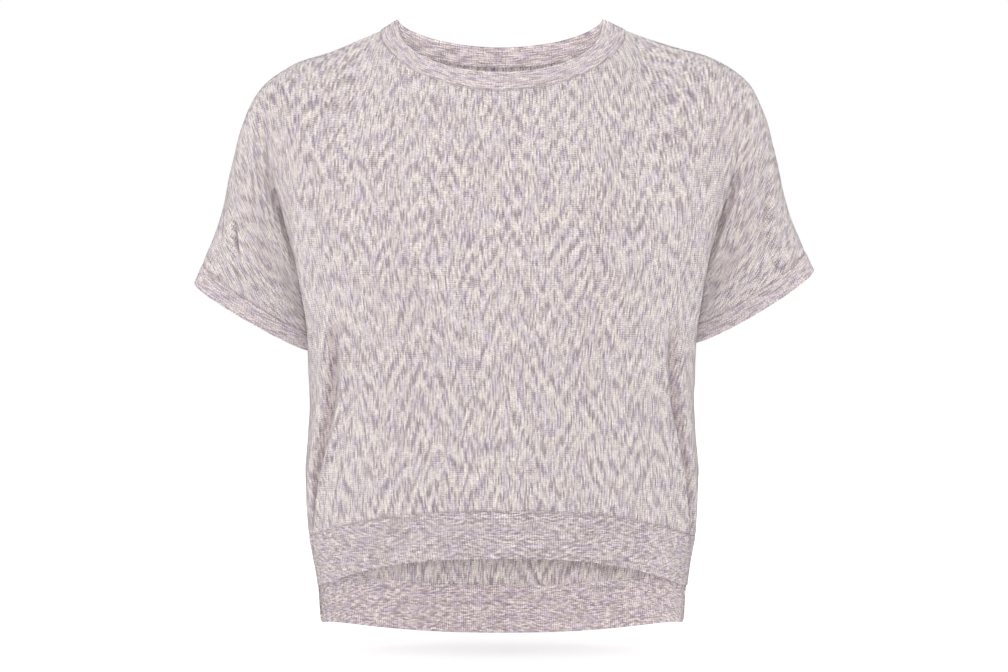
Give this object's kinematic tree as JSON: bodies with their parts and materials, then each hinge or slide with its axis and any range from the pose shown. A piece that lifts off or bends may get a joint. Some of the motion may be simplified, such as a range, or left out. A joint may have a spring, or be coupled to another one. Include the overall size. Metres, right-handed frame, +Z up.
{
  "type": "short-sleeved knitted jumper",
  "caption": "Boxy short-sleeved jumper in fine marl knit, round neck, dolman sleeves cut in one with the body, banded cuffs and a hem that is longer at the back, shown as worn.",
  "frame": {"origin": "middle of the neck at the height of the neck's side points, where the shoulders carry the garment", "axes": "+X to the viewer's right, -Y to the front of the garment, +Z up towards the neck"},
  "size_m": [0.6277, 0.2334, 0.6227],
  "materials": {
    "marl_jersey": "matte, fine cream and lilac marl jersey",
    "marl_band": "matte, the same marl with its strokes along the band"
  },
  "bodies": {
    "root": {"front_panel": "marl_jersey", "back_panel": "marl_jersey", "neckband": "marl_band", "cuff_left": "marl_band", "cuff_right": "marl_band", "hem_band_front": "marl_band", "hem_band_back": "marl_band"}
  },
  "joints": []
}
